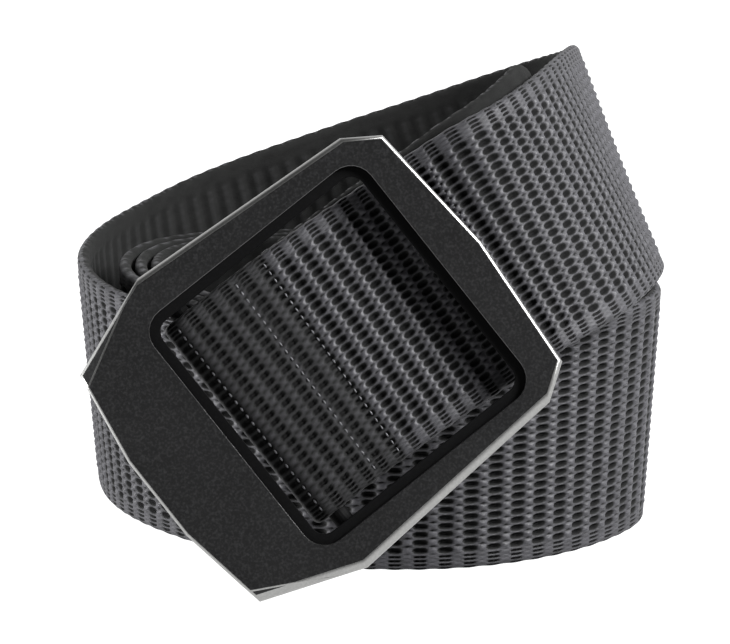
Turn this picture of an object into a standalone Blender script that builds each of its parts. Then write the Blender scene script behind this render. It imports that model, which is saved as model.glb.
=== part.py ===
"""A web belt, rolled up and standing on its edge, with its plate buckle in front.

Three pieces: the woven strap, the buckle plate with its window, and the pin that the
strap's sewn end is folded round. Metres, +Z up, the floor at z = 0, the buckle towards -Y.
"""
import math

import bmesh
import bpy
import numpy as np
from mathutils import Matrix, Vector

MM = 0.001
GAP = 0.3 * MM                        # running gap between pieces, and between two layers

# The strap
STRAP_WIDTH = 37.6 * MM
STRAP_THICK = 1.9 * MM
LAYER_PITCH = STRAP_THICK + 0.6 * MM   # from one layer's middle to the next one's
SELVEDGE_BEVEL = 0.45 * MM
TIP_ROUND = 3.0 * MM                  # corner radius of both heat-cut ends
RETURN_LENGTH = 71.0 * MM            # sewn end, from the fold to its cut
RETURN_SKEW = 2.9 * MM                # its cut end stands this far above the front layer
RETURN_SKEW_POWER = 1.6               # most of that comes in its last stretch
PLATE_HOLDS_FOR = 30 * MM             # the strap stays parallel to the plate this far
PLATE_FREES_OVER = 18 * MM            # and takes up the route's own lean over this much

# The plate
PLATE_THICK = 2.8 * MM
PLATE_EDGE_BEVEL = 0.7 * MM
WINDOW_HALF = (19.1 * MM, 20.2 * MM)  # half sizes along and across the strap
WINDOW_RADIUS = 2.2 * MM
RECESS_STEP = 0.7 * MM                # the front lip is this much larger all round
RECESS_DEPTH = 0.9 * MM
FACET_FALL = math.radians(24)         # slope of the two long corner facets
FACET_FROM = (-32.3 * MM, 19.5 * MM)
FACET_TO = (-17.5 * MM, 27.4 * MM)
CUTTER_SIZE = 60 * MM                 # larger than any corner it cuts

# Half of the plate's outline, along and across the strap, from the right point to the left
PLATE_OUTLINE = (
    # along, across
    (27.5, 0.0),
    (25.8, 21.7),
    (20.5, 25.3),
    (-16.3, 27.7),
    (-32.2, 21.7),
    (-34.6, 7.0),
)

# The pin and the two lugs that carry it
PIN_RADIUS = 1.5 * MM
FOLD_RADIUS = PIN_RADIUS + GAP + STRAP_THICK / 2
FOLD_EDGE = -18.4 * MM                # the fold's outer edge, along the strap
PIN_ALONG = FOLD_EDGE + FOLD_RADIUS + STRAP_THICK / 2
PIN_DEPTH = -4.2 * MM                 # behind the plate's front face
FOLD_ACROSS = 0.6 * MM                # the strap sits this far off the plate's middle
FOLD_REACH = 75                       # the fold is drawn to this angle either way
FOLD_STEP = 15
PIN_HALF_LENGTH = 22.6 * MM
LUG_INNER = 20.8 * MM
LUG_OUTER = 24.0 * MM
LUG_HALF_WIDTH = 2.9 * MM
LUG_BACK = PIN_DEPTH - 2.9 * MM

# The middle of the belt's footprint, in the tables' own millimetres; it becomes the origin
FOOTPRINT_MIDDLE = np.array((0.51, -12.64, -0.01))

# How the buckle stands: it leans back, and the strap rises towards its right
BUCKLE_CENTRE = Vector((np.array((-4.1, -65.6, 37.9)) - FOOTPRINT_MIDDLE) * MM)
LEAN_BACK = math.radians(14)
STRAP_RISE = math.radians(38.5)

# The strap inside the buckle: its middle, as it drifts across the window and dives under
# the right-hand bar
IN_BUCKLE = (
    # along, across, depth
    (-13.6, 0.6, -1.4),
    (-9.0, 0.6, -1.4),
    (-4.0, 0.5, -1.7),
    (2.0, 0.2, -2.4),
    (8.0, -0.1, -3.7),
    (14.0, -0.6, -5.4),
    (20.0, -1.1, -6.4),
)

# The strap's middle line from the buckle round the outside to the right bend of the
# lower wrap. Lean is how far the upper edge tips outwards, in degrees.
OUTER_WRAP = (
    # x, y, z, lean
    (21.8, -55.2, 53.8, -22),
    (28.3, -50.6, 56.3, -28),
    (33.8, -41.5, 58.2, -29),
    (37.2, -28.0, 58.2, -27),
    (38.8, -11.0, 55.9, -23),
    (39.1, 1.0, 53.3, -20),
    (38.6, 12.0, 50.4, -18),
    (36.6, 24.0, 47.1, -15),
    (32.0, 34.2, 43.5, -11),
    (24.4, 41.0, 39.6, -7),
    (14.0, 45.4, 35.2, -4),
    (2.0, 47.2, 31.0, -2),
    (-8.5, 46.2, 27.8, -1),
    (-18.0, 43.2, 25.2, 0),
    (-27.0, 38.0, 22.9, 0),
    (-34.5, 30.4, 20.9, 1),
    (-40.1, 21.0, 19.8, 2),
    (-42.8, 11.0, 19.1, 4),
    (-43.1, 0.0, 18.9, 5),
    (-41.2, -12.0, 18.9, 5),
    (-36.9, -22.7, 18.9, 5),
    (-29.8, -32.6, 18.9, 4),
    (-20.5, -41.6, 18.8, 3),
    (-9.6, -48.0, 18.8, 3),
    (2.0, -50.8, 18.8, 3),
    (13.6, -50.2, 18.8, 3),
    (24.2, -46.2, 18.8, 3),
    (33.4, -39.2, 18.8, 3),
    (40.4, -30.6, 18.8, 4),
    (43.9, -22.4, 18.8, 4),
    (43.5, -14.2, 18.8, 4),
    (40.2, -6.0, 18.8, 4),
)

# One turn of the inner roll, counted from the back of the right bend
INNER_TURN = (
    # x, y
    (33.6, 3.2),
    (26.0, 9.4),
    (14.0, 14.2),
    (0.0, 16.8),
    (-14.0, 17.8),
    (-26.0, 16.0),
    (-34.4, 10.2),
    (-37.8, 0.6),
    (-37.0, -10.4),
    (-32.8, -20.4),
    (-26.2, -30.2),
    (-17.4, -39.0),
    (-7.6, -45.2),
    (2.6, -48.2),
    (13.4, -47.6),
    (23.4, -43.8),
    (32.0, -37.0),
    (38.2, -29.2),
    (41.2, -21.2),
    (40.6, -12.8),
    (37.7, -5.2),
)
INNER_TURNS = 3.15
INNER_HEIGHT = STRAP_WIDTH / 2
INNER_LEAN = 3.0
SECTION_STEP = 3.6 * MM
ACROSS_STRAP = 4                      # faces across the strap's width
FINE_STEP = 1.2 * MM                  # spacing used while a route is being smoothed
LEAN_IN_BUCKLE = -18.0

BLACK_METAL = (0.018, 0.018, 0.019, 1.0)
BLACK_PIN = (0.03, 0.03, 0.032, 1.0)
WEBBING = (0.075, 0.075, 0.083, 1.0)


def clear_scene():
    for old in list(bpy.data.objects):
        bpy.data.objects.remove(old, do_unlink=True)


def make_collection(name):
    group = bpy.data.collections.new(name)
    bpy.context.scene.collection.children.link(group)
    return group


def make_material(name, colour, roughness, metallic):
    material = bpy.data.materials.new(name)
    material.use_nodes = True
    shader = material.node_tree.nodes["Principled BSDF"]
    shader.inputs["Base Color"].default_value = colour
    shader.inputs["Roughness"].default_value = roughness
    shader.inputs["Metallic"].default_value = metallic
    return material


def spline_through(rows, step):
    """Points every `step` or so along a centripetal Catmull-Rom curve through the rows."""
    rows = np.asarray(rows, float)
    before = 2 * rows[0] - rows[1]
    after = 2 * rows[-1] - rows[-2]
    rows = np.vstack([before, rows, after])
    points = []
    for a, b, c, d in zip(rows, rows[1:], rows[2:], rows[3:]):
        t1 = np.linalg.norm((b - a)[:3]) ** 0.5
        t2 = t1 + np.linalg.norm((c - b)[:3]) ** 0.5
        t3 = t2 + np.linalg.norm((d - c)[:3]) ** 0.5
        count = max(2, int(round(np.linalg.norm((c - b)[:3]) / step)))
        for t in np.linspace(t1, t2, count, endpoint=False):
            ab = a + (b - a) * (t / t1)
            bc = b + (c - b) * ((t - t1) / (t2 - t1))
            cd = c + (d - c) * ((t - t2) / (t3 - t2))
            abc = ab + (bc - ab) * (t / t2)
            bcd = bc + (cd - bc) * ((t - t1) / (t3 - t1))
            points.append(abc + (bcd - abc) * ((t - t1) / (t2 - t1)))
    points.append(rows[-2])
    return np.array(points)


def lengths_along(points):
    steps = np.linalg.norm(np.diff(points[:, :3], axis=0), axis=1)
    return np.concatenate([[0.0], np.cumsum(steps)])


def resample(points, step):
    along = lengths_along(points)
    count = max(2, int(round(along[-1] / step)) + 1)
    wanted = np.linspace(0.0, along[-1], count)
    return np.stack([np.interp(wanted, along, column) for column in points.T], axis=1)


def relax(points, passes):
    """Even out the bends; the two ends stay where they are."""
    points = points.copy()
    for _ in range(passes):
        points[1:-1] = 0.25 * points[:-2] + 0.5 * points[1:-1] + 0.25 * points[2:]
    return points


def unit(vectors):
    return vectors / np.linalg.norm(vectors, axis=-1, keepdims=True)


def buckle_matrix():
    """Columns: along the strap, across it, out of the front face; origin at the window."""
    right = Vector((1, 0, 0))
    up = Vector((0, math.sin(LEAN_BACK), math.cos(LEAN_BACK)))
    out = Vector((0, -math.cos(LEAN_BACK), math.sin(LEAN_BACK)))
    along = right * math.cos(STRAP_RISE) + up * math.sin(STRAP_RISE)
    across = out.cross(along)
    turned = Matrix((along, across, out)).transposed().to_4x4()
    return Matrix.Translation(BUCKLE_CENTRE) @ turned


def to_world(frame, along, across, depth):
    return np.array(frame @ Vector((along, across, depth)))


def outward_normals(points, width_ways):
    tangents = unit(np.gradient(points, axis=0))
    return unit(np.cross(tangents, width_ways))


def width_directions(points, leans):
    """Across the strap, towards its upper edge: upright, then tipped about the route."""
    tangents = unit(np.gradient(points, axis=0))
    upright = np.array([0.0, 0.0, 1.0]) - tangents * tangents[:, 2:3]
    upright = unit(upright)
    outward = np.cross(tangents, upright)
    leans = np.radians(leans)[:, None]
    return upright * np.cos(leans) + outward * np.sin(leans)


def front_route():
    """From the top of the fold, through the window and round the outside of the roll."""
    frame = buckle_matrix()
    rows = [(*to_world(frame, a * MM, b * MM, d * MM), LEAN_IN_BUCKLE)
            for a, b, d in IN_BUCKLE]
    rows += [(*(row[:3] - FOOTPRINT_MIDDLE) * MM, row[3]) for row in np.array(OUTER_WRAP)]
    return spline_through(rows, FINE_STEP)


def inner_roll():
    """Turn after turn inside the last, each a layer's pitch in from the one before."""
    first = (np.array(INNER_TURN) - FOOTPRINT_MIDDLE[:2]) * MM
    rows = len(first)
    centre = first.mean(axis=0)
    points = []
    for i in range(int(rows * INNER_TURNS) + 1):
        turns = i / rows
        base = first[i % rows]
        ahead = first[(i + 1) % rows] - first[i % rows - 1]
        inward = np.array([-ahead[1], ahead[0]]) / np.linalg.norm(ahead)
        if np.dot(inward, centre - base) < 0:
            inward = -inward
        points.append((*(base + inward * LAYER_PITCH * turns), INNER_HEIGHT, INNER_LEAN))
    return points


def strap_route():
    """Middle points, width directions and half widths of the whole strap, end to end."""
    frame = buckle_matrix()
    front = front_route()
    rolled = spline_through(inner_roll(), FINE_STEP)
    front = np.vstack([front, rolled[1:]])
    front = relax(resample(front, FINE_STEP), 8)
    points, leans = front[:, :3], front[:, 3]
    widths = width_directions(points, leans)

    # In the window the width lies in the plate's plane; it blends into the leaning route
    plate_width = np.array(frame.to_3x3() @ Vector((0, 1, 0)))
    along = lengths_along(points)
    freed = np.clip((along - PLATE_HOLDS_FOR) / PLATE_FREES_OVER, 0, 1)[:, None]
    freed = freed * freed * (3 - 2 * freed)
    widths = unit(plate_width * (1 - freed) + widths * freed)
    tangents = unit(np.gradient(points, axis=0))
    widths = unit(widths - tangents * np.sum(widths * tangents, axis=1, keepdims=True))

    # The sewn end lies behind the first stretch, from its cut back to the pin
    normals = outward_normals(points, widths)
    out = np.array(frame.to_3x3() @ Vector((0, 0, 1)))
    side = np.sign(np.dot(normals[0], out))
    return_depth = PIN_DEPTH - FOLD_RADIUS
    depth = np.dot(points - np.array(BUCKLE_CENTRE), out)
    apart = np.maximum(LAYER_PITCH, np.minimum(depth - return_depth, 2 * FOLD_RADIUS))
    near = along <= RETURN_LENGTH
    skew = RETURN_SKEW * (along[near] / RETURN_LENGTH) ** RETURN_SKEW_POWER
    back = points[near] - side * normals[near] * apart[near, None]
    back = back + widths[near] * skew[:, None]
    back = relax(back, 6)[::-1]
    back_widths = widths[near][::-1]

    # The fold is a half circle round the pin
    pin = to_world(frame, PIN_ALONG, FOLD_ACROSS, PIN_DEPTH)
    ahead = np.array(frame.to_3x3() @ Vector((1, 0, 0)))
    turn = np.radians(np.arange(-FOLD_REACH, FOLD_REACH + 1, FOLD_STEP))
    fold = [pin - ahead * FOLD_RADIUS * math.cos(a) + out * FOLD_RADIUS * math.sin(a)
            for a in turn]
    fold_widths = np.repeat(plate_width[None, :], len(turn), axis=0)

    return end_rounded(np.vstack([
        resample(np.hstack([back, back_widths]), SECTION_STEP),
        np.hstack([fold, fold_widths]),
        resample(np.hstack([points, widths]), SECTION_STEP)]))


def end_rounded(sections):
    """Sections as points, width directions and half widths, narrowing at both cut ends."""
    points, widths = sections[:, :3], unit(sections[:, 3:])
    along = lengths_along(points)
    from_end = np.minimum(along, along[-1] - along)
    cut = np.clip(TIP_ROUND - from_end, 0, TIP_ROUND)
    halves = STRAP_WIDTH / 2 - (TIP_ROUND - np.sqrt(TIP_ROUND ** 2 - cut ** 2))
    return points, widths, halves


def make_strap(group, material):
    points, widths, halves = strap_route()
    last = len(points) - 1
    mesh = bpy.data.meshes.new("strap")
    grid = bmesh.new()
    bmesh.ops.create_grid(grid, x_segments=ACROSS_STRAP, y_segments=last, size=1.0)
    for vert in grid.verts:
        i = round((vert.co.y + 1) / 2 * last)
        vert.co = Vector(points[i] + widths[i] * halves[i] * vert.co.x)
    grid.to_mesh(mesh)
    grid.free()
    strap = bpy.data.objects.new("strap", mesh)
    group.objects.link(strap)
    mesh.materials.append(material)
    wall = strap.modifiers.new("webbing thickness", "SOLIDIFY")
    wall.thickness = STRAP_THICK
    wall.offset = 0.0
    edge = strap.modifiers.new("selvedge", "BEVEL")
    edge.width = SELVEDGE_BEVEL
    edge.segments = 1
    edge.limit_method = "ANGLE"
    edge.angle_limit = math.radians(50)
    return strap


def prism(name, outline, low, high, frame, group):
    """A closed prism on a flat outline, standing from depth `low` to `high`."""
    mesh = bpy.data.meshes.new(name)
    solid = bmesh.new()
    face = solid.faces.new([solid.verts.new((x, y, low)) for x, y in outline])
    raised = bmesh.ops.extrude_face_region(solid, geom=[face])
    top = [v for v in raised["geom"] if isinstance(v, bmesh.types.BMVert)]
    bmesh.ops.translate(solid, verts=top, vec=(0, 0, high - low))
    bmesh.ops.recalc_face_normals(solid, faces=solid.faces)
    solid.to_mesh(mesh)
    solid.free()
    thing = bpy.data.objects.new(name, mesh)
    thing.matrix_world = frame
    group.objects.link(thing)
    return thing


def rounded_rectangle(half_x, half_y, radius, steps=5):
    corners = ((1, 1, 0), (-1, 1, 90), (-1, -1, 180), (1, -1, 270))
    outline = []
    for sx, sy, start in corners:
        for k in range(steps + 1):
            angle = math.radians(start + 90 * k / steps)
            outline.append((sx * (half_x - radius) + radius * math.cos(angle),
                            sy * (half_y - radius) + radius * math.sin(angle)))
    return outline


def plate_outline():
    upper = [(a * MM, b * MM) for a, b in PLATE_OUTLINE]
    lower = [(a, -b) for a, b in reversed(upper) if b > 0]
    return upper + lower


def cut_away(target, cutter):
    cut = target.modifiers.new("cut " + cutter.name, "BOOLEAN")
    cut.operation = "DIFFERENCE"
    cut.solver = "EXACT"
    cut.object = cutter


def join_on(target, added):
    union = target.modifiers.new("join " + added.name, "BOOLEAN")
    union.operation = "UNION"
    union.solver = "EXACT"
    union.object = added


def as_tool(thing):
    thing.hide_render = True
    thing.display_type = "WIRE"
    return thing


def facet_cutter(sign, frame, tools):
    """A block whose underside slopes down over one of the two left corners."""
    start = Vector((FACET_FROM[0], sign * FACET_FROM[1], 0))
    end = Vector((FACET_TO[0], sign * FACET_TO[1], 0))
    line = (end - start).normalized()
    outward = Vector((line.y, -line.x, 0))
    if outward.y * sign < 0:
        outward = -outward
    fall = outward * math.cos(FACET_FALL) - Vector((0, 0, 1)) * math.sin(FACET_FALL)
    rise = line.cross(fall)
    if rise.z < 0:
        rise = -rise
    block = Matrix((line, fall, rise)).transposed().to_4x4()
    block.translation = (start + end + (fall + rise) * CUTTER_SIZE) / 2
    mesh = bpy.data.meshes.new("facet cutter")
    cube = bmesh.new()
    bmesh.ops.create_cube(cube, size=CUTTER_SIZE)
    bmesh.ops.transform(cube, matrix=block, verts=cube.verts)
    bmesh.ops.recalc_face_normals(cube, faces=cube.faces)
    cube.to_mesh(mesh)
    cube.free()
    cutter = bpy.data.objects.new("facet cutter", mesh)
    cutter.matrix_world = frame
    tools.objects.link(cutter)
    return as_tool(cutter)


def make_plate(group, tools, material):
    frame = buckle_matrix()
    plate = prism("buckle_plate", plate_outline(), -PLATE_THICK, 0, frame, group)
    plate.data.materials.append(material)

    bevelled = bmesh.new()
    bevelled.from_mesh(plate.data)
    rim = [e for e in bevelled.edges if all(v.co.z > -PLATE_THICK / 2 for v in e.verts)]
    bmesh.ops.bevel(bevelled, geom=rim, offset=PLATE_EDGE_BEVEL, segments=2, profile=0.5,
                    affect="EDGES", clamp_overlap=True)
    bevelled.to_mesh(plate.data)
    bevelled.free()

    for sign in (1, -1):
        cut_away(plate, facet_cutter(sign, frame, tools))
        lug_across = sign * (LUG_INNER + LUG_OUTER) / 2
        half = (LUG_OUTER - LUG_INNER) / 2
        lug = prism("lug", [(PIN_ALONG - LUG_HALF_WIDTH, lug_across - half),
                            (PIN_ALONG + LUG_HALF_WIDTH, lug_across - half),
                            (PIN_ALONG + LUG_HALF_WIDTH, lug_across + half),
                            (PIN_ALONG - LUG_HALF_WIDTH, lug_across + half)],
                    LUG_BACK, -PLATE_THICK / 2, frame, tools)
        join_on(plate, as_tool(lug))

    half_x, half_y = WINDOW_HALF
    window = prism("window", rounded_rectangle(half_x, half_y, WINDOW_RADIUS),
                   -2 * PLATE_THICK, PLATE_THICK, frame, tools)
    recess = prism("recess", rounded_rectangle(half_x + RECESS_STEP, half_y + RECESS_STEP,
                                               WINDOW_RADIUS + RECESS_STEP),
                   -RECESS_DEPTH, PLATE_THICK, frame, tools)
    bore = pin_shape("pin bore", PIN_RADIUS + GAP, PIN_HALF_LENGTH + GAP, tools)
    for cutter in (window, recess, bore):
        cut_away(plate, as_tool(cutter))
    return plate


def pin_shape(name, radius, half_length, group):
    mesh = bpy.data.meshes.new(name)
    rod = bmesh.new()
    bmesh.ops.create_cone(rod, cap_ends=True, segments=20, radius1=radius, radius2=radius,
                          depth=2 * half_length)
    rod.to_mesh(mesh)
    rod.free()
    thing = bpy.data.objects.new(name, mesh)
    place = Matrix.Translation((PIN_ALONG, 0, PIN_DEPTH))
    thing.matrix_world = buckle_matrix() @ place @ Matrix.Rotation(math.pi / 2, 4, "X")
    group.objects.link(thing)
    return thing


def make_pin(group, material):
    pin = pin_shape("strap_pin", PIN_RADIUS, PIN_HALF_LENGTH, group)
    pin.data.materials.append(material)
    pin.data.shade_smooth()
    pin.data.set_sharp_from_angle(angle=math.radians(40))
    return pin


def main():
    clear_scene()
    belt = make_collection("web_belt")
    tools = make_collection("cutters")
    make_plate(belt, tools, make_material("black metal", BLACK_METAL, 0.38, 0.6))
    make_pin(belt, make_material("black steel", BLACK_PIN, 0.4, 0.8))
    make_strap(belt, make_material("webbing", WEBBING, 0.75, 0.0))


main()
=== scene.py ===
"""The rolled web belt: woven strap, stitching, black plate and pin, dressed for a picture.

Metres, +Z up, the floor at z = 0, the plate towards -Y. The strap's way round is worked out
from the same tables as the solids. The weave is modelled once as a small cell, copied along
and across, and laid on that way; the stitches are laid on it in the same manner.
"""

import math

import bpy
import numpy as np
from mathutils import Matrix, Vector


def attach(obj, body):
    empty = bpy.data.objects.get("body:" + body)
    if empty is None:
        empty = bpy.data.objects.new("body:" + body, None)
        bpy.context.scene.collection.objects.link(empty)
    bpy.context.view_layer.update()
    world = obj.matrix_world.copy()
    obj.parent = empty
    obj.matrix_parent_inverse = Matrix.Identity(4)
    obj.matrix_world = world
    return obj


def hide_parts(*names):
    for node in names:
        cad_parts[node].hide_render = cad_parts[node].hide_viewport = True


MM = 0.001
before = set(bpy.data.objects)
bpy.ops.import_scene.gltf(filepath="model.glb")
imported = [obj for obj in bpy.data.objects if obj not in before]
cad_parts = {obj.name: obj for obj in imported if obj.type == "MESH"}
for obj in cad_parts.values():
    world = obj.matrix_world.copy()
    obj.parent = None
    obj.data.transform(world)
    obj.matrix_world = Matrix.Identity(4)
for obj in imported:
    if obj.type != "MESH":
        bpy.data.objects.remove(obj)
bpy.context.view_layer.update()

# Sizes of the strap, as in the solids
GAP = 0.3 * MM
STRAP_WIDTH = 37.6 * MM
STRAP_THICK = 1.9 * MM
LAYER_PITCH = STRAP_THICK + 0.6 * MM
TIP_ROUND = 3.0 * MM
RETURN_LENGTH = 71.0 * MM
RETURN_SKEW = 2.9 * MM
RETURN_SKEW_POWER = 1.6
PLATE_HOLDS_FOR = 30 * MM
PLATE_FREES_OVER = 18 * MM

# Sizes of the plate and pin, as in the solids
PLATE_THICK = 2.8 * MM
WINDOW_HALF = (19.1 * MM, 20.2 * MM)
WINDOW_RADIUS = 2.2 * MM
RECESS_STEP = 1.6 * MM                 # wider here than in the solid, which has 0.7
RECESS_DEPTH = 0.9 * MM
FACET_FALL = math.radians(24)
FACET_FROM = (-32.3 * MM, 19.5 * MM)
FACET_TO = (-17.5 * MM, 27.4 * MM)
PLATE_OUTLINE = ((27.5, 0.0), (25.8, 21.7), (20.5, 25.3), (-16.3, 27.7), (-32.2, 21.7),
                 (-34.6, 7.0))
PIN_RADIUS = 1.5 * MM
FOLD_RADIUS = PIN_RADIUS + GAP + STRAP_THICK / 2
FOLD_EDGE = -18.4 * MM
PIN_ALONG = FOLD_EDGE + FOLD_RADIUS + STRAP_THICK / 2
PIN_DEPTH = -4.2 * MM
PIN_HALF_LENGTH = 22.6 * MM
FOLD_ACROSS = 0.6 * MM
FOLD_REACH = 75
FOLD_STEP = 5
LUG_INNER = 20.8 * MM
LUG_OUTER = 24.0 * MM
LUG_HALF_WIDTH = 2.9 * MM
LUG_BACK = PIN_DEPTH - 2.9 * MM

# Where the buckle stands, and the strap's route, as in the solids
FOOTPRINT_MIDDLE = np.array((0.51, -12.64, -0.01))
BUCKLE_CENTRE = Vector((np.array((-4.1, -65.6, 37.9)) - FOOTPRINT_MIDDLE) * MM)
LEAN_BACK = math.radians(14)
STRAP_RISE = math.radians(38.5)
LEAN_IN_BUCKLE = -18.0
IN_BUCKLE = ((-13.6, 0.6, -1.4), (-9.0, 0.6, -1.4), (-4.0, 0.5, -1.7), (2.0, 0.2, -2.4),
             (8.0, -0.1, -3.7), (14.0, -0.6, -5.4), (20.0, -1.1, -6.4))
OUTER_WRAP = (
    (21.8, -55.2, 53.8, -22), (28.3, -50.6, 56.3, -28), (33.8, -41.5, 58.2, -29),
    (37.2, -28.0, 58.2, -27), (38.8, -11.0, 55.9, -23), (39.1, 1.0, 53.3, -20),
    (38.6, 12.0, 50.4, -18), (36.6, 24.0, 47.1, -15), (32.0, 34.2, 43.5, -11),
    (24.4, 41.0, 39.6, -7), (14.0, 45.4, 35.2, -4), (2.0, 47.2, 31.0, -2),
    (-8.5, 46.2, 27.8, -1), (-18.0, 43.2, 25.2, 0), (-27.0, 38.0, 22.9, 0),
    (-34.5, 30.4, 20.9, 1), (-40.1, 21.0, 19.8, 2), (-42.8, 11.0, 19.1, 4),
    (-43.1, 0.0, 18.9, 5), (-41.2, -12.0, 18.9, 5), (-36.9, -22.7, 18.9, 5),
    (-29.8, -32.6, 18.9, 4), (-20.5, -41.6, 18.8, 3), (-9.6, -48.0, 18.8, 3),
    (2.0, -50.8, 18.8, 3), (13.6, -50.2, 18.8, 3), (24.2, -46.2, 18.8, 3),
    (33.4, -39.2, 18.8, 3), (40.4, -30.6, 18.8, 4), (43.9, -22.4, 18.8, 4),
    (43.5, -14.2, 18.8, 4), (40.2, -6.0, 18.8, 4))
INNER_TURN = (
    (33.6, 3.2), (26.0, 9.4), (14.0, 14.2), (0.0, 16.8), (-14.0, 17.8), (-26.0, 16.0),
    (-34.4, 10.2), (-37.8, 0.6), (-37.0, -10.4), (-32.8, -20.4), (-26.2, -30.2),
    (-17.4, -39.0), (-7.6, -45.2), (2.6, -48.2), (13.4, -47.6), (23.4, -43.8),
    (32.0, -37.0), (38.2, -29.2), (41.2, -21.2), (40.6, -12.8), (37.7, -5.2))
INNER_TURNS = 3.15
INNER_HEIGHT = STRAP_WIDTH / 2
INNER_LEAN = 3.0
FINE_STEP = 1.2 * MM
ROUTE_PASSES, RETURN_PASSES, FOLD_PASSES = 8, 6, 2     # how often each part is smoothed

# Sizes of the weave
ROWS = 33                              # cells across the strap
EDGE_ROWS = 4                          # this many beside each edge are half as wide
CELL_LENGTHS = (
    # from this length on (mm), cell length (mm): the bends squeeze and stretch the cells
    (0, 3.06), (230, 3.06), (330, 3.3), (385, 3.9), (480, 3.9), (540, 3.6), (1300, 3.6))
SELVEDGE_PLAIN = 0.2 * MM              # nothing woven shows this close to an edge
SELVEDGE_TIGHT = 2.3 * MM              # the cells are pressed flatter up to here
SELVEDGE_EASE = 0.9 * MM
SCALLOP = 0.11 * MM                    # each cell pulls the edge in and out by this
CUT_SEAL = 0.6 * MM                    # the heat-sealed ends round over within this
CUT_THIN = 0.85                        # how far they do
CUT_PLAIN = 2.0 * MM                   # the weave fades out within this length of an end
SEWN_TIGHT = 0.85                      # how far sewing presses the cells flat
PRESSED_DEPTH = 1.3                    # a pressed slot keeps this times its depth
PRESSED_POWER = 2.9                    # to this power, so only its deepest part is left
PRESSED_RISE = 0.25                    # a raised yarn keeps this share of its height
BRIDGE_HALF = 0.05                     # half the length, in cells, of the yarn that lies
BRIDGE_DEPTH = 0.45                    # over a pressed slot's middle, and the depth left there

# Painted shade, as shares of a slot's own painted shade, laid on the pressed sewn yarn, beside
# the edges and on the strap's inner face
SEWN_PAINTED_SHADE = 0.16
SELVEDGE_PAINTED_SHADE = 0.09
INSIDE_PAINTED_SHADE = 0.32
PAINTED_SHADE_DEPTH_OUTSIDE = 0.85             # a slot this deep, in millimetres, is painted black as painted shade
PAINTED_SHADE_DEPTH_INSIDE = 1.6

# Heights of the cells, in millimetres, in columns along a cell and rows across half of it
SLOT_CELL = (
    # along, at the row's edge, at its shoulder, beside its middle, in its middle
    (0.00, -0.34, -0.08, 0.12, 0.19),
    (0.13, -0.18, -0.04, 0.10, 0.14),
    (0.24, -0.08, -0.05, -0.24, -0.40),
    (0.36, -0.07, -0.22, -0.74, -0.68),
    (0.50, -0.06, -0.26, -0.78, -0.58),
    (0.64, -0.07, -0.22, -0.72, -0.60),
    (0.77, -0.07, -0.05, -0.24, -0.32),
    (0.88, -0.16, -0.02, 0.08, 0.11))
SLOT_ROWS = (0.0, 0.16, 0.32, 0.5)
RIB_CELL = (
    # along, at the row's edge, in its middle
    (0.00, 0.02, 0.06),
    (0.12, 0.00, 0.03),
    (0.22, -0.07, -0.05),
    (0.36, -0.24, -0.20),
    (0.50, -0.32, -0.28),
    (0.64, -0.24, -0.20),
    (0.78, -0.07, -0.05),
    (0.88, 0.00, 0.03))
ROLL_SLOT_CELL = ((0.0, -0.16, 0.10), (0.25, -0.02, -0.42), (0.5, -0.02, -0.66),
                  (0.75, -0.02, -0.36))
ROLL_RIB_CELL = ((0.0, 0.0, 0.04), (0.25, -0.08, -0.06), (0.5, -0.22, -0.18),
                 (0.75, -0.08, -0.06))
HALF_ROWS = (0.0, 0.5)

# Pieces of the strap, each from one whole cell to another
STRAP_PIECES = (
    # name, first cell, last cell, outer cell and its rows, inner cell
    ("strap_sewn_end", 0, 39, SLOT_CELL, SLOT_ROWS, RIB_CELL),
    ("strap_crease", 39, 78, SLOT_CELL, SLOT_ROWS, RIB_CELL),
    ("strap_back", 78, 117, SLOT_CELL, SLOT_ROWS, RIB_CELL),
    ("strap_coil", 117, 156, SLOT_CELL, SLOT_ROWS, RIB_CELL),
    ("strap_roll", 156, None, ROLL_SLOT_CELL, HALF_ROWS, ROLL_RIB_CELL))

# Stitching, in the plate's own lengths along and across
STITCH_ROWS = (-16.0 * MM, -5.9 * MM, -0.95 * MM)
STITCH_FROM, STITCH_TO = -17.7 * MM, 17.7 * MM
STITCH_PITCH = 1.36 * MM
STITCH_SIZE = (0.26 * MM, 0.80 * MM, 0.26 * MM)
STITCH_PULL = 0.16 * MM                # each row draws the webbing in this much,
STITCH_PULL_REACH = 0.5 * MM           # and about this far on either side
STITCH_RAISED = 0.1                    # share of a stitch's height that it is lifted by
SEWN_EASE = 1.2 * MM

# The plate's edges
RIM_WIDTHS = (
    # outward angle from the strap's own direction (degrees) up to here, bevel width (mm)
    (45, 0.55), (75, 0.60), (110, 0.80), (180, 0.45), (240, 0.45), (290, 1.30), (315, 0.80),
    (360, 0.55))
RIM_LARGEST = 1.30 * MM
RIM_SEGMENTS = 4
FACET_LINE = 0.14 * MM                 # the facet's own edge is worn to a thin line
LIP_WIDTH = 0.13 * MM
LIP_CORNER = 3.0 * MM                  # a lip's rounded corners reach in this far
STEP_WIDTH = 0.10 * MM
BACK_WIDTH = 0.3 * MM
CORNER_SEGMENTS = 6
PIN_HOLE_SIDES = 32
COAT, RIM, LIP, WINDOW_PAINTED_SHADE = range(4)      # the plate's finishes, in their order on it; the window's is painted shade


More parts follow.
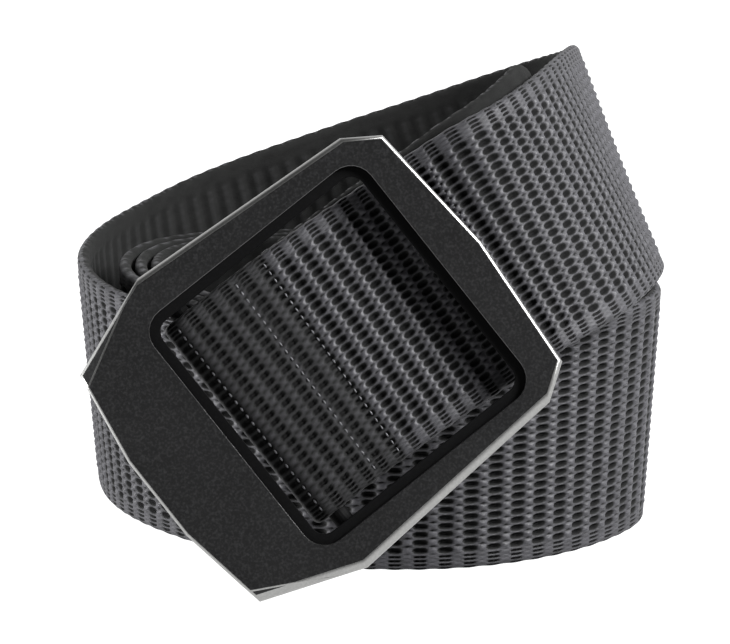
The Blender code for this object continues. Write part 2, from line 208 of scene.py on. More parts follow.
def spline_through(rows, step):
    rows = np.asarray(rows, float)
    rows = np.vstack([2 * rows[0] - rows[1], rows, 2 * rows[-1] - rows[-2]])
    points = []
    for a, b, c, d in zip(rows, rows[1:], rows[2:], rows[3:]):
        t1 = np.linalg.norm((b - a)[:3]) ** 0.5
        t2 = t1 + np.linalg.norm((c - b)[:3]) ** 0.5
        t3 = t2 + np.linalg.norm((d - c)[:3]) ** 0.5
        count = max(2, int(round(np.linalg.norm((c - b)[:3]) / step)))
        for t in np.linspace(t1, t2, count, endpoint=False):
            ab = a + (b - a) * (t / t1)
            bc = b + (c - b) * ((t - t1) / (t2 - t1))
            cd = c + (d - c) * ((t - t2) / (t3 - t2))
            abc = ab + (bc - ab) * (t / t2)
            bcd = bc + (cd - bc) * ((t - t1) / (t3 - t1))
            points.append(abc + (bcd - abc) * ((t - t1) / (t2 - t1)))
    points.append(rows[-2])
    return np.array(points)


def lengths_along(points):
    steps = np.linalg.norm(np.diff(points[:, :3], axis=0), axis=1)
    return np.concatenate([[0.0], np.cumsum(steps)])


def resample(points, step):
    along = lengths_along(points)
    count = max(2, int(round(along[-1] / step)) + 1)
    wanted = np.linspace(0.0, along[-1], count)
    return np.stack([np.interp(wanted, along, column) for column in points.T], axis=1)


def relax(points, passes):
    points = points.copy()
    for _ in range(passes):
        points[1:-1] = 0.25 * points[:-2] + 0.5 * points[1:-1] + 0.25 * points[2:]
    return points


def unit(vectors):
    return vectors / np.linalg.norm(vectors, axis=-1, keepdims=True)


def smooth_step(x):
    x = np.clip(x, 0.0, 1.0)
    return x * x * (3 - 2 * x)


def buckle_matrix():
    """Columns: along the strap, across it, out of the front face; origin at the window."""
    right = Vector((1, 0, 0))
    up = Vector((0, math.sin(LEAN_BACK), math.cos(LEAN_BACK)))
    out = Vector((0, -math.cos(LEAN_BACK), math.sin(LEAN_BACK)))
    along = right * math.cos(STRAP_RISE) + up * math.sin(STRAP_RISE)
    turned = Matrix((along, out.cross(along), out)).transposed().to_4x4()
    return Matrix.Translation(BUCKLE_CENTRE) @ turned


BUCKLE = buckle_matrix()


def in_buckle(along, across, depth):
    return np.array(BUCKLE @ Vector((along, across, depth)))


def inner_roll():
    first = (np.array(INNER_TURN) - FOOTPRINT_MIDDLE[:2]) * MM
    rows = len(first)
    centre = first.mean(axis=0)
    points = []
    for i in range(int(rows * INNER_TURNS) + 1):
        base = first[i % rows]
        ahead = first[(i + 1) % rows] - first[i % rows - 1]
        inward = np.array([-ahead[1], ahead[0]]) / np.linalg.norm(ahead)
        if np.dot(inward, centre - base) < 0:
            inward = -inward
        points.append((*(base + inward * LAYER_PITCH * i / rows), INNER_HEIGHT, INNER_LEAN))
    return points


def strap_route():
    """Length, middle point, width direction and outward direction, all along the strap."""
    rows = [(*in_buckle(a * MM, b * MM, d * MM), LEAN_IN_BUCKLE) for a, b, d in IN_BUCKLE]
    rows += [(*(row[:3] - FOOTPRINT_MIDDLE) * MM, row[3]) for row in np.array(OUTER_WRAP)]
    front = np.vstack([spline_through(rows, FINE_STEP),
                       spline_through(inner_roll(), FINE_STEP)[1:]])
    front = relax(resample(front, FINE_STEP), ROUTE_PASSES)
    points, leans = front[:, :3], np.radians(front[:, 3])[:, None]

    tangents = unit(np.gradient(points, axis=0))
    upright = unit(np.array([0.0, 0.0, 1.0]) - tangents * tangents[:, 2:3])
    widths = upright * np.cos(leans) + np.cross(tangents, upright) * np.sin(leans)
    turn_in_buckle = BUCKLE.to_3x3()
    plate_width = np.array(turn_in_buckle @ Vector((0, 1, 0)))
    along = lengths_along(points)
    freed = smooth_step((along - PLATE_HOLDS_FOR) / PLATE_FREES_OVER)[:, None]
    widths = unit(plate_width * (1 - freed) + widths * freed)
    widths = unit(widths - tangents * np.sum(widths * tangents, axis=1, keepdims=True))

    normals = unit(np.cross(tangents, widths))
    out = np.array(turn_in_buckle @ Vector((0, 0, 1)))
    depth = np.dot(points - np.array(BUCKLE_CENTRE), out)
    apart = np.maximum(LAYER_PITCH, np.minimum(depth - (PIN_DEPTH - FOLD_RADIUS),
                                               2 * FOLD_RADIUS))
    near_buckle = along <= RETURN_LENGTH
    skew = RETURN_SKEW * (along[near_buckle] / RETURN_LENGTH) ** RETURN_SKEW_POWER
    back = (points[near_buckle] - normals[near_buckle] * apart[near_buckle, None]
            + widths[near_buckle] * skew[:, None])
    back = np.hstack([relax(back, RETURN_PASSES), widths[near_buckle]])[::-1]

    pin = in_buckle(PIN_ALONG, FOLD_ACROSS, PIN_DEPTH)
    ahead = np.array(turn_in_buckle @ Vector((1, 0, 0)))
    turn = np.radians(np.arange(-FOLD_REACH, FOLD_REACH + 1, FOLD_STEP))
    fold = [np.hstack([pin - ahead * FOLD_RADIUS * math.cos(a)
                       + out * FOLD_RADIUS * math.sin(a), plate_width]) for a in turn]
    whole = resample(np.vstack([back, fold, np.hstack([points, widths])]), FINE_STEP / 2)
    points = relax(whole[:, :3], FOLD_PASSES)
    widths = unit(whole[:, 3:])
    tangents = unit(np.gradient(points, axis=0))
    return lengths_along(points), points, widths, unit(np.cross(tangents, widths))


LENGTH, MIDDLE, WIDTH_WAY, OUT_WAY = strap_route()


def length_at(plate_along, front):
    """The length along the strap that lies at this place of the plate, on either layer."""
    places = (MIDDLE - np.array(BUCKLE_CENTRE)) @ np.array(BUCKLE.to_3x3())
    fold = np.argmin(np.where(LENGTH < 2 * RETURN_LENGTH, places[:, 0], 1))
    layer = slice(fold, 2 * fold) if front else slice(0, fold)
    nearest = np.argmin(np.abs(places[layer, 0] - plate_along))
    return LENGTH[layer][nearest]


STITCHED = {front: [length_at(row, front) for row in STITCH_ROWS] for front in (True, False)}
SEWN_FROM, SEWN_TO = STITCHED[False][-1], STITCHED[True][-1]


def cell_marks():
    """The length along the strap at which each cell starts."""
    marks = [0.0]
    table = np.array(CELL_LENGTHS) * MM
    while marks[-1] < LENGTH[-1]:
        marks.append(marks[-1] + np.interp(marks[-1], table[:, 0], table[:, 1]))
    marks = np.array(marks)
    return marks * (LENGTH[-1] / marks[-1])


CELL_AT = cell_marks()


def along_route(values, lengths):
    return np.stack([np.interp(lengths, LENGTH, column) for column in values.T], axis=1)


# Helpers for modelling
def activate(thing):
    if bpy.context.object and bpy.context.object.mode != "OBJECT":
        bpy.ops.object.mode_set(mode="OBJECT")
    bpy.ops.object.select_all(action="DESELECT")
    thing.select_set(True)
    bpy.context.view_layer.objects.active = thing


def named(name):
    thing = bpy.context.object
    thing.name = thing.data.name = name
    return thing


def choose(thing, kind, test):
    """In edit mode with only those vertices, edges or faces selected that pass the test."""
    activate(thing)
    bpy.ops.object.mode_set(mode="EDIT")
    bpy.ops.mesh.select_mode(type=kind)
    bpy.ops.mesh.select_all(action="DESELECT")
    bpy.ops.object.mode_set(mode="OBJECT")
    mesh = thing.data
    if kind == "VERT":
        for vertex in mesh.vertices:
            vertex.select = test(vertex.co)
    elif kind == "EDGE":
        for edge in mesh.edges:
            a, b = (mesh.vertices[i].co for i in edge.vertices)
            edge.select = test(a, b)
    else:
        for face in mesh.polygons:
            face.select = test(face)
    bpy.ops.object.mode_set(mode="EDIT")


def choose_all(thing):
    activate(thing)
    bpy.ops.object.mode_set(mode="EDIT")
    bpy.ops.mesh.select_mode(type="VERT")
    bpy.ops.mesh.select_all(action="SELECT")


def done():
    bpy.ops.object.mode_set(mode="OBJECT")


def apply_modifiers(thing):
    activate(thing)
    for modifier in list(thing.modifiers):
        bpy.ops.object.modifier_apply(modifier=modifier.name)


def apply_place(thing):
    activate(thing)
    bpy.ops.object.transform_apply(location=True, rotation=True, scale=True)


def near(a, b):
    return abs(a - b) < 1e-4


def same_place(a, b):
    return abs(a - b) < 1e-6


# The weave
def weave_cell(heights, rows):
    """A unit square whose grid is pulled to the table's places and heights (millimetres)."""
    columns, half = len(heights), len(rows) - 1
    bpy.ops.object.select_all(action="DESELECT")
    bpy.ops.mesh.primitive_grid_add(x_subdivisions=columns, y_subdivisions=2 * half, size=1,
                                    location=(0.5, 0.5, 0))
    cell = named("weave_cell")
    apply_place(cell)
    for i in range(columns + 1):
        along, *levels = heights[i % columns]
        x, new_x = i / columns, along + i // columns
        for j, (row, level) in enumerate(zip(rows, levels)):
            for y, new_y in {(j / (2 * half), row), (1 - j / (2 * half), 1 - row)}:
                choose(cell, "VERT", lambda p: near(p.x, x) and near(p.y, y))
                bpy.ops.transform.translate(value=(new_x - x, new_y - y, level))
                done()
    return cell


def woven_sheet(heights, rows, count):
    """A flat sheet of cells, `count` along and ROWS across, still in cell units."""
    sheet = weave_cell(heights, rows)
    for axis, copies in ((1, ROWS), (0, count)):
        repeat = sheet.modifiers.new("repeat", "ARRAY")
        repeat.count = copies
        repeat.use_relative_offset = False
        repeat.use_constant_offset = True
        repeat.constant_offset_displace = (1 - axis, axis, 0)
        apply_modifiers(sheet)
        choose_all(sheet)
        bpy.ops.mesh.remove_doubles(threshold=0.001)
        done()
    return sheet


def coordinates(mesh):
    flat = np.empty(len(mesh.vertices) * 3)
    mesh.vertices.foreach_get("co", flat)
    return flat.reshape(-1, 3)


def place_on_strap(mesh, lengths, across, stand):
    """Put the mesh's vertices on the strap; stand is from its middle, outwards."""
    places = (along_route(MIDDLE, lengths) + along_route(WIDTH_WAY, lengths) * across[:, None]
              + along_route(OUT_WAY, lengths) * stand[:, None])
    mesh.vertices.foreach_set("co", places.ravel())
    cloth = mesh.uv_layers.new(name="cloth")
    corners = np.empty(len(mesh.loops), int)
    mesh.loops.foreach_get("vertex_index", corners)
    cloth.data.foreach_set("uv", np.stack([lengths, across], axis=1)[corners].ravel() * 100)


def drawn_in(lengths):
    """How far the stitch rows pull the webbing's face in."""
    pull = np.zeros_like(lengths)
    for row in STITCHED[True] + STITCHED[False]:
        pull += STITCH_PULL * np.exp(-((lengths - row) / STITCH_PULL_REACH) ** 2)
    return pull


def lay_on_strap(sheet, first_cell, side):
    """Cell numbers become places along and across the strap; heights stand off its face."""
    mesh = sheet.data
    cells, rows, height = coordinates(mesh).T
    cells = cells + first_cell
    lengths = np.interp(cells, np.arange(len(CELL_AT)), CELL_AT)
    from_end = np.minimum(lengths, LENGTH[-1] - lengths)
    cut = np.clip(TIP_ROUND - from_end, 0, TIP_ROUND)
    half = STRAP_WIDTH / 2 - (TIP_ROUND - np.sqrt(TIP_ROUND ** 2 - cut ** 2))
    half = half - SCALLOP * (1 + np.cos(2 * np.pi * cells)) / 2
    even = np.abs(rows - ROWS / 2)
    even = even - 0.5 * np.maximum(even - (ROWS / 2 - EDGE_ROWS), 0)
    across = np.sign(rows - ROWS / 2) * even / (ROWS / 2 - EDGE_ROWS / 2) * half
    from_edge = half - np.abs(across)

    # The weave is tight and shallow beside the edges and where the end is sewn down
    tight = 1 - smooth_step((from_edge - SELVEDGE_TIGHT) / SELVEDGE_EASE)
    # Painted shade on the strap's inner face
    painted_shade_offset = INSIDE_PAINTED_SHADE if side < 0 else 0.0
    if side > 0:
        sewn = smooth_step((lengths - SEWN_FROM) / SEWN_EASE + 1)
        sewn = sewn * smooth_step((SEWN_TO - lengths) / SEWN_EASE + 1)
        tight = np.maximum(tight, SEWN_TIGHT * sewn)
        # Painted shade on the sewn stretch
        painted_shade_offset = SEWN_PAINTED_SHADE * sewn
    # Painted shade beside the edges and on the sewn stretch, by how tight the weave is
    painted_shade_offset = painted_shade_offset + SELVEDGE_PAINTED_SHADE * tight
    pressed = np.where(height < 0, -PRESSED_DEPTH * np.abs(height) ** PRESSED_POWER,
                       PRESSED_RISE * height)
    bridged = np.abs(cells % 1 - 0.5) < BRIDGE_HALF
    pressed = pressed * np.where(bridged, BRIDGE_DEPTH, 1.0)
    height = height * (1 - tight) + pressed * tight
    height = height * smooth_step((from_edge - SELVEDGE_PLAIN) / SELVEDGE_PLAIN)
    height = height * smooth_step(from_end / CUT_PLAIN)

    # The wall's own half thickness, rounded at the edges and the cut ends
    thick = STRAP_THICK / 2
    rounding = np.clip(1 - from_edge / thick, 0, 1)
    sealing = np.clip(1 - from_end / CUT_SEAL, 0, 1) * CUT_THIN
    body = thick * np.sqrt(1 - rounding ** 2) * np.sqrt(1 - sealing ** 2)
    body = body - drawn_in(lengths) * smooth_step(from_edge / MM)
    place_on_strap(mesh, lengths, across, side * (body + height * MM))

    # Painted shade: a slot's colour goes towards black with its depth, plus the painted shade
    # of the sewn yarn, the edges and the inner face
    depth = mesh.attributes.new("painted_shade", "FLOAT", "POINT")
    black = PAINTED_SHADE_DEPTH_OUTSIDE if side > 0 else PAINTED_SHADE_DEPTH_INSIDE
    depth.data.foreach_set("value", np.clip(-height / black + painted_shade_offset, -1, 1))
    if side < 0:
        choose_all(sheet)
        bpy.ops.mesh.flip_normals()
        done()
    return sheet


def strap_piece(name, first, last, outer, outer_rows, inner):
    """Both faces of one stretch of strap, joined along the edges and closed at the ends."""
    last = len(CELL_AT) - 1 if last is None else last
    front = lay_on_strap(woven_sheet(outer, outer_rows, last - first), first, 1)
    back = lay_on_strap(woven_sheet(inner, HALF_ROWS, last - first), first, -1)
    activate(front)
    back.select_set(True)
    bpy.ops.object.join()
    piece = named(name)
    choose_all(piece)
    bpy.ops.mesh.remove_doubles(threshold=0.00001)
    bpy.ops.mesh.fill_holes(sides=0)
    done()
    bpy.ops.object.shade_smooth_by_angle(angle=math.radians(80))
    return piece


# The stitching
def stitch_rows():
    """Small rounded stitches in rows across the strap, on both of its sewn layers."""
    rows = []
    for front in (True, False):
        for row in STITCHED[front]:
            bpy.ops.object.select_all(action="DESELECT")
            bpy.ops.mesh.primitive_uv_sphere_add(segments=8, ring_count=6, radius=0.5)
            stitch = named("stitch")
            bpy.ops.transform.resize(value=STITCH_SIZE)
            bpy.ops.transform.translate(value=(0, STITCH_FROM + STITCH_PITCH / 2, 0))
            apply_place(stitch)
            repeat = stitch.modifiers.new("repeat", "ARRAY")
            repeat.count = round((STITCH_TO - STITCH_FROM) / STITCH_PITCH)
            repeat.use_relative_offset = False
            repeat.use_constant_offset = True
            repeat.constant_offset_displace = (0, STITCH_PITCH, 0)
            apply_modifiers(stitch)
            x, y, z = coordinates(stitch.data).T
            lengths = row + x
            stand = STRAP_THICK / 2 - drawn_in(lengths) + STITCH_SIZE[2] * STITCH_RAISED + z
            place_on_strap(stitch.data, lengths, y, stand)
            rows.append(stitch)
    activate(rows[0])
    for row in rows[1:]:
        row.select_set(True)
    bpy.ops.object.join()
    bpy.ops.object.shade_smooth()
    piece = named("stitching")
    choose_all(piece)
    bpy.ops.mesh.normals_make_consistent(inside=False)
    done()
    return piece


# The plate
def cut_off(thing, point, outward):
    """Everything beyond the plane goes, and the cut is closed."""
    choose_all(thing)
    bpy.ops.mesh.bisect(plane_co=point, plane_no=outward, use_fill=True, clear_outer=True)
    done()


def block(name, low, high):
    bpy.ops.object.select_all(action="DESELECT")
    low, high = Vector(low), Vector(high)
    bpy.ops.mesh.primitive_cube_add(size=1, location=(low + high) / 2)
    thing = named(name)
    thing.scale = high - low
    apply_place(thing)
    return thing


def rounded_block(name, half_x, half_y, radius, low, high):
    thing = block(name, (-half_x, -half_y, low), (half_x, half_y, high))
    choose(thing, "EDGE", lambda a, b: same_place(a.x, b.x) and same_place(a.y, b.y))
    bpy.ops.mesh.bevel(offset=radius, segments=CORNER_SEGMENTS, affect="EDGES")
    done()
    return thing


def combine(thing, tool, operation):
    change = thing.modifiers.new("combine", "BOOLEAN")
    change.operation = operation
    change.solver = "EXACT"
    change.object = tool
    apply_modifiers(thing)
    bpy.data.objects.remove(tool, do_unlink=True)


def rim_width(a, b):
    """The bevel's width on one edge of the front rim, by the way that edge faces."""
    way = (b - a).cross(Vector((0, 0, 1)))
    if way.dot(a + b) < 0:
        way = -way
    angle = math.degrees(math.atan2(way.y, way.x)) % 360
    return next(width for limit, width in RIM_WIDTHS if angle <= limit) * MM


def is_facet_line(a, b):
    """The line where a corner facet leaves the flat front."""
    start, end = Vector(FACET_FROM), Vector(FACET_TO)
    line = (end - start).normalized()
    ends = [Vector((p.x, abs(p.y))) - start for p in (a, b)]
    return all(abs(line.x * e.y - line.y * e.x) < 0.05 * MM for e in ends)


def bevel_rim(plate):
    """The front's outer edges are worn bare; each side has a bevel of its own width."""
    weights = plate.data.attributes.new("bevel_weight_edge", "FLOAT", "EDGE")
    for edge in plate.data.edges:
        a, b = (plate.data.vertices[i].co for i in edge.vertices)
        upright = same_place(a.x, b.x) and same_place(a.y, b.y)
        at_back = min(a.z, b.z) < -0.9 * PLATE_THICK
        if at_back or upright:
            continue
        inner = same_place(a.z, 0) and same_place(b.z, 0) and is_facet_line(a, b)
        width = FACET_LINE if inner else rim_width(a, b)
        weights.data[edge.index].value = width / RIM_LARGEST
    rim = plate.modifiers.new("rim", "BEVEL")
    rim.limit_method = "WEIGHT"
    rim.width = RIM_LARGEST
    rim.segments = RIM_SEGMENTS
    rim.material = RIM
    apply_modifiers(plate)


def plate_blank():
    """A block cut to the plate's outline, with a facet at each of its left corners."""
    upper = [(a * MM, b * MM) for a, b in PLATE_OUTLINE]
    outline = upper + [(a, -b) for a, b in reversed(upper) if b > 0]
    reach = max(abs(v) for point in outline for v in point) + MM
    plate = block("plate_body", (-reach, -reach, -PLATE_THICK), (reach, reach, 0))
    for a, b in zip(outline, outline[1:] + outline[:1]):
        outward = Vector((b[1] - a[1], a[0] - b[0], 0))
        if outward.dot(Vector((*a, 0))) < 0:
            outward = -outward
        cut_off(plate, Vector((*a, 0)), outward.normalized())
    for sign in (1, -1):
        start = Vector((FACET_FROM[0], sign * FACET_FROM[1], 0))
        end = Vector((FACET_TO[0], sign * FACET_TO[1], 0))
        across = (end - start).cross(Vector((0, 0, 1))).normalized()
        if across.dot(start) < 0:
            across = -across
        slope = across * math.sin(FACET_FALL) + Vector((0, 0, math.cos(FACET_FALL)))
        cut_off(plate, start, slope)
    return plate


def cut_window(plate):
    """The window and the recess round its front."""
    half_x, half_y = WINDOW_HALF
    step_x, step_y = half_x + RECESS_STEP, half_y + RECESS_STEP
    combine(plate, rounded_block("window", half_x, half_y, WINDOW_RADIUS, -2 * PLATE_THICK,
                                 PLATE_THICK), "DIFFERENCE")
    combine(plate, rounded_block("recess", step_x, step_y, WINDOW_RADIUS + RECESS_STEP,
                                 -RECESS_DEPTH, PLATE_THICK), "DIFFERENCE")


def add_lugs(plate):
    """Two small lugs behind the plate, bored for the pin."""
    for sign in (1, -1):
        inner, outer = sorted((sign * LUG_INNER, sign * LUG_OUTER))
        lug = block("lug", (PIN_ALONG - LUG_HALF_WIDTH, inner, LUG_BACK),
                    (PIN_ALONG + LUG_HALF_WIDTH, outer, -PLATE_THICK / 2))
        choose(lug, "EDGE", lambda a, b: max(a.z, b.z) < -PLATE_THICK)
        bpy.ops.mesh.bevel(offset=BACK_WIDTH, segments=2, affect="EDGES")
        done()
        combine(plate, lug, "UNION")
    bpy.ops.object.select_all(action="DESELECT")
    bpy.ops.mesh.primitive_cylinder_add(vertices=PIN_HOLE_SIDES, radius=PIN_RADIUS + GAP,
                                        depth=2 * (PIN_HALF_LENGTH + GAP),
                                        location=(PIN_ALONG, 0, PIN_DEPTH),
                                        rotation=(math.pi / 2, 0, 0))
    bore = named("pin_bore")
    apply_place(bore)
    combine(plate, bore, "DIFFERENCE")


def crosses(a, b, level):
    """An edge that runs across the step between the two lips, and not along a lip."""
    half_x, half_y = WINDOW_HALF
    inner = [max(abs(p.x) - half_x, abs(p.y) - half_y) < 0.02 * MM for p in (a, b)]
    return level < 0 and not all(inner)


def wear_lip(plate, lip_x, lip_y, level, width, finish):
    """Bevel one rounded lip of the window, which lies at this level."""
    def on_lip(p):
        inside = max(abs(p.x) - lip_x, abs(p.y) - lip_y) < 0.01 * MM
        beside = abs(p.x) > lip_x - LIP_CORNER or abs(p.y) > lip_y - LIP_CORNER
        return same_place(p.z, level) and inside and beside
    choose(plate, "EDGE", lambda a, b: on_lip(a) and on_lip(b) and not crosses(a, b, level))
    bpy.ops.mesh.bevel(offset=width, segments=2, affect="EDGES", material=finish)
    done()


def finish_window(plate):
    """A thin bright line on the outer lip; the step and the walls have a deeper black, duller
    coat than the front, as painted shade in the recess.
    """
    half_x, half_y = WINDOW_HALF
    step_x, step_y = half_x + RECESS_STEP, half_y + RECESS_STEP
    wear_lip(plate, step_x, step_y, 0, LIP_WIDTH, LIP)
    wear_lip(plate, half_x, half_y, -RECESS_DEPTH, STEP_WIDTH, COAT)

    def in_window(face):
        x, y, z = face.center
        return abs(x) < step_x and abs(y) < step_y and -0.95 * PLATE_THICK < z < -0.2 * MM
    # Painted shade: the recess's step and walls take the deeper black coat
    choose(plate, "FACE", in_window)
    plate.active_material_index = WINDOW_PAINTED_SHADE
    bpy.ops.object.material_slot_assign()
    done()


def make_plate():
    """The plate in its own place, then stood up as the buckle stands."""
    plate = plate_blank()
    for finish in (BLACK_COAT, BARE_EDGE, WORN_EDGE, DULL_COAT_AND_RECESS_SHADE):
        plate.data.materials.append(finish)
    bevel_rim(plate)
    cut_window(plate)
    add_lugs(plate)
    finish_window(plate)
    plate.matrix_world = BUCKLE
    apply_place(plate)
    bpy.ops.object.shade_smooth_by_angle(angle=math.radians(32))
    flat = plate.modifiers.new("flat_faces", "WEIGHTED_NORMAL")
    flat.keep_sharp = True
    apply_modifiers(plate)
    return plate


# Finishes
WHITE = (1, 1, 1, 1)
YARN_LEVEL, SLOT_LEVEL = 0.34, 0.62    # where plain yarn ends and a slot's painted shade begins, as a share


def new_material(name):
    material = bpy.data.materials.new(name)
    material.use_nodes = True
    nodes = material.node_tree.nodes
    return material, nodes, material.node_tree.links, nodes["Principled BSDF"]


def ranged(nodes, links, source, low, high, into):
    change = nodes.new("ShaderNodeMapRange")
    change.inputs["To Min"].default_value = low
    change.inputs["To Max"].default_value = high
    links.new(source, change.inputs["Value"])
    links.new(change.outputs["Result"], into)
    return change


def two_tones(nodes, links, source, low_at, low, high_at, high):
    """A ramp between two colours, read from a noise or a depth."""
    tone = nodes.new("ShaderNodeValToRGB")
    first, second = tone.color_ramp.elements
    first.position, second.position = low_at, high_at
    first.color, second.color = low, high
    links.new(source, tone.inputs["Fac"])
    return tone


def roughened(nodes, links, source, strength, distance, shader):
    """Fibres or grains that are too fine to model."""
    bump = nodes.new("ShaderNodeBump")
    bump.inputs["Strength"].default_value = strength
    bump.inputs["Distance"].default_value = distance
    links.new(source, bump.inputs["Height"])
    links.new(bump.outputs["Normal"], shader.inputs["Normal"])


def tinted(nodes, links, colour, tint, factor):
    mix = nodes.new("ShaderNodeMix")
    mix.data_type = "RGBA"
    mix.blend_type = "MULTIPLY"
    mix.inputs["Factor"].default_value = factor
    links.new(colour, mix.inputs["A"])
    links.new(tint, mix.inputs["B"])
    return mix.outputs["Result"]


def cloth_noise(nodes, links, scale, detail):
    """Noise on the strap's own length and width, in centimetres."""
    cloth = nodes.new("ShaderNodeUVMap")
    cloth.uv_map = "cloth"
    stretch = nodes.new("ShaderNodeMapping")
    stretch.inputs["Scale"].default_value = (*scale, 1)
    noise = nodes.new("ShaderNodeTexNoise")
    noise.inputs["Scale"].default_value = 1.0
    noise.inputs["Detail"].default_value = detail
    links.new(cloth.outputs["UV"], stretch.inputs["Vector"])
    links.new(stretch.outputs["Vector"], noise.inputs["Vector"])
    return noise


def webbing_finish():
    """Charcoal yarn, with painted shade that is black in the slots; fine fibres along each
    yarn, a slight sheen.
    """
    material, nodes, links, shader = new_material("charcoal_webbing")
    painted_shade = nodes.new("ShaderNodeAttribute")
    painted_shade.attribute_name = "painted_shade"
    # Painted shade: the ramp runs from the yarn's colour to near black as the painted-shade
    # value rises
    shade = nodes.new("ShaderNodeValToRGB")
    ramp = shade.color_ramp
    ramp.interpolation = "EASE"
    ramp.elements[0].position = YARN_LEVEL
    ramp.elements[0].color = (0.054, 0.0535, 0.0592, 1)
    ramp.elements[1].position = 0.88
    ramp.elements[1].color = (0.003, 0.003, 0.0033, 1)
    ramp.elements.new(SLOT_LEVEL).color = (0.0085, 0.0088, 0.0085, 1)
    level = ranged(nodes, links, painted_shade.outputs["Fac"], 0, 1, shade.inputs["Fac"])
    level.inputs["From Min"].default_value = -0.5
    level.inputs["From Max"].default_value = 0.9

    fibres = cloth_noise(nodes, links, (14, 75), 4)
    yarns = cloth_noise(nodes, links, (4.5, 9), 0)
    patches = cloth_noise(nodes, links, (1.3, 1.3), 2)
    fibre_tone = two_tones(nodes, links, fibres.outputs["Fac"], 0.32, (0.35, 0.35, 0.37, 1),
                           0.62, WHITE)
    yarn_tone = two_tones(nodes, links, yarns.outputs["Fac"], 0.3, (0.5, 0.5, 0.5, 1),
                          0.6, WHITE)
    colour = tinted(nodes, links, shade.outputs["Color"], fibre_tone.outputs["Color"], 0.5)
    colour = tinted(nodes, links, colour, yarn_tone.outputs["Color"], 0.6)
    links.new(colour, shader.inputs["Base Color"])

    # Rough in patches, and dull in the slots
    roughness = nodes.new("ShaderNodeMath")
    roughness.use_clamp = True
    ranged(nodes, links, patches.outputs["Fac"], 0.42, 0.58, roughness.inputs[0])
    duller = ranged(nodes, links, level.outputs["Result"], 0, 0.45, roughness.inputs[1])
    duller.inputs["From Min"].default_value = YARN_LEVEL
    duller.inputs["From Max"].default_value = SLOT_LEVEL
    links.new(roughness.outputs["Value"], shader.inputs["Roughness"])

    roughened(nodes, links, fibres.outputs["Fac"], 0.6, 0.15 * MM, shader)
    shader.inputs["Specular IOR Level"].default_value = 0.35
    shader.inputs["Sheen Weight"].default_value = 0.02
    shader.inputs["Sheen Roughness"].default_value = 0.4
    return material


def thread_finish():
    """Twisted sewing thread, a little lighter and smoother than the webbing."""
    material, nodes, links, shader = new_material("sewing_thread")
    twist = cloth_noise(nodes, links, (60, 160), 3)
    tone = two_tones(nodes, links, twist.outputs["Fac"], 0.35, (0.045, 0.045, 0.05, 1),
                     0.65, (0.10, 0.10, 0.108, 1))
    links.new(tone.outputs["Color"], shader.inputs["Base Color"])
    shader.inputs["Roughness"].default_value = 0.45
    return material


def coated_finish(name, colour, roughness, metallic, sparkle, specular):
    """Satin coating with fine sparkle grains and a faint unevenness."""
    material, nodes, links, shader = new_material(name)
    where = nodes.new("ShaderNodeTexCoord")
    grains = nodes.new("ShaderNodeTexNoise")
    grains.inputs["Scale"].default_value = 2600
    grains.inputs["Detail"].default_value = 2
    links.new(where.outputs["Object"], grains.inputs["Vector"])
    bright = tuple(min(1, c * sparkle) for c in colour[:3]) + (1,)
    tone = two_tones(nodes, links, grains.outputs["Fac"], 0.45, colour, 0.78, bright)
    links.new(tone.outputs["Color"], shader.inputs["Base Color"])
    wear = nodes.new("ShaderNodeTexNoise")
    wear.inputs["Scale"].default_value = 90
    links.new(where.outputs["Object"], wear.inputs["Vector"])
    ranged(nodes, links, wear.outputs["Fac"], roughness - 0.06, roughness + 0.08,
           shader.inputs["Roughness"])
    roughened(nodes, links, grains.outputs["Fac"], 0.12, 0.04 * MM, shader)
    shader.inputs["Metallic"].default_value = metallic
    shader.inputs["Specular IOR Level"].default_value = specular
    return material


# Dressing
WEBBING = webbing_finish()
THREAD = thread_finish()
BLACK_COAT = coated_finish("satin_black_coat", (0.0105, 0.0105, 0.0108, 1), 0.40, 0.0, 2.6, 0.3)
BARE_EDGE = coated_finish("bright_bare_edge", (0.31, 0.31, 0.305, 1), 0.36, 1.0, 1.15, 0.5)
WORN_EDGE = coated_finish("worn_lip", (0.16, 0.16, 0.16, 1), 0.30, 1.0, 1.15, 0.5)
# The pin's own dull black, also used as painted shade on the window's step and walls
DULL_COAT_AND_RECESS_SHADE = coated_finish("dull_black_coat_and_recess_shade", (0.004, 0.004, 0.0042, 1), 0.65, 0.0, 1.5, 0.08)

for row in STRAP_PIECES:
    piece = strap_piece(*row)
    piece.data.materials.clear()
    piece.data.materials.append(WEBBING)
    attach(piece, "root")
    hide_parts("strap")

stitching = stitch_rows()
stitching.data.materials.append(THREAD)
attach(stitching, "root")

plate_body = make_plate()
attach(plate_body, "root")
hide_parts("buckle_plate")

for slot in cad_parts["strap_pin"].material_slots:
    slot.material = DULL_COAT_AND_RECESS_SHADE


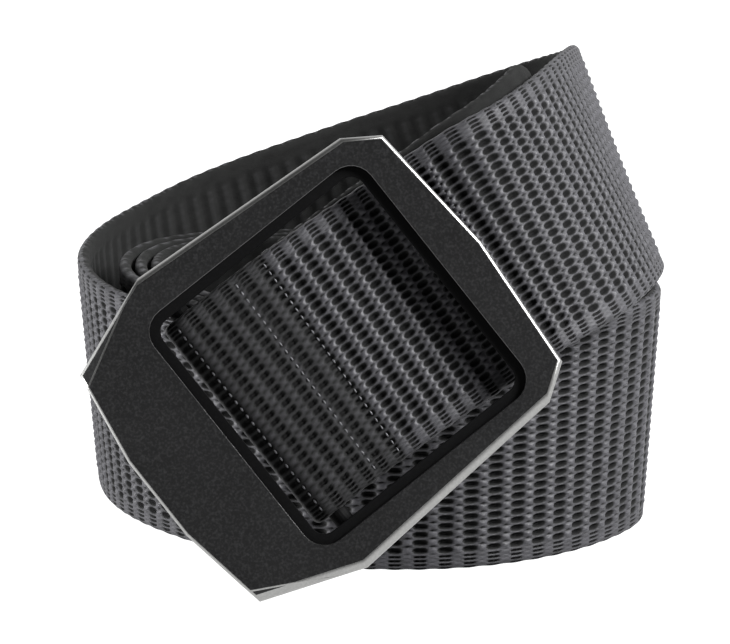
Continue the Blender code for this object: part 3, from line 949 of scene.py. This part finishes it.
# Floor, light and camera
def pale_floor():
    bpy.ops.object.select_all(action="DESELECT")
    bpy.ops.mesh.primitive_plane_add(size=6, location=(0, 0, -0.05 * MM))
    floor = named("floor")
    material, nodes, links, shader = new_material("pale_floor")
    shader.inputs["Base Color"].default_value = (0.06, 0.06, 0.06, 1)
    shader.inputs["Roughness"].default_value = 0.9
    shader.inputs["Emission Color"].default_value = WHITE
    shader.inputs["Emission Strength"].default_value = 0.96
    floor.data.materials.append(material)


def soft_light(name, place, size, power):
    light = bpy.data.lights.new(name, "AREA")
    light.shape = "DISK"
    light.size = size
    light.energy = power
    thing = bpy.data.objects.new(name, light)
    bpy.context.scene.collection.objects.link(thing)
    thing.location = LOOK_AT + Vector(place)
    thing.rotation_euler = (-Vector(place)).to_track_quat("-Z", "Y").to_euler()


LOOK_AT = (Vector((0, 0, 26.7)) - Vector(FOOTPRINT_MIDDLE)) * MM
LOOK_DOWN = math.radians(14)
LOOK_FROM = 1.2
SENSOR_WIDTH = 36
FOCAL_PIXELS, PHOTO_WIDTH = 7560, 730

pale_floor()
soft_light("key_light", (0.71, -0.33, 0.60), 0.42, 26)
soft_light("left_card", (-0.24, -0.07, 0.0), 0.08, 1.0)


def studio_world():
    """White all round and behind, dimmer from the front, as in a light tent."""
    world = bpy.data.worlds.new("studio")
    bpy.context.scene.world = world
    world.use_nodes = True
    nodes, links = world.node_tree.nodes, world.node_tree.links
    way = nodes.new("ShaderNodeTexCoord")
    split = nodes.new("ShaderNodeSeparateXYZ")
    links.new(way.outputs["Generated"], split.inputs["Vector"])
    strength = ranged(nodes, links, split.outputs["Y"], 0.04, 1.0,
                      nodes["Background"].inputs["Strength"])
    strength.inputs["From Min"].default_value = -0.1
    strength.inputs["From Max"].default_value = 0.4
    nodes["Background"].inputs["Color"].default_value = WHITE


studio_world()
bpy.context.scene.view_settings.view_transform = "Standard"
bpy.context.scene.view_settings.look = "Medium High Contrast"

camera = bpy.data.objects.new("camera", bpy.data.cameras.new("camera"))
bpy.context.scene.collection.objects.link(camera)
camera.data.sensor_width = SENSOR_WIDTH
camera.data.lens = FOCAL_PIXELS * SENSOR_WIDTH / PHOTO_WIDTH
camera.data.clip_end = 20
camera.location = LOOK_AT + Vector((0, -math.cos(LOOK_DOWN), math.sin(LOOK_DOWN))) * LOOK_FROM
camera.rotation_euler = (math.pi / 2 - LOOK_DOWN, 0, 0)
bpy.context.scene.camera = camera
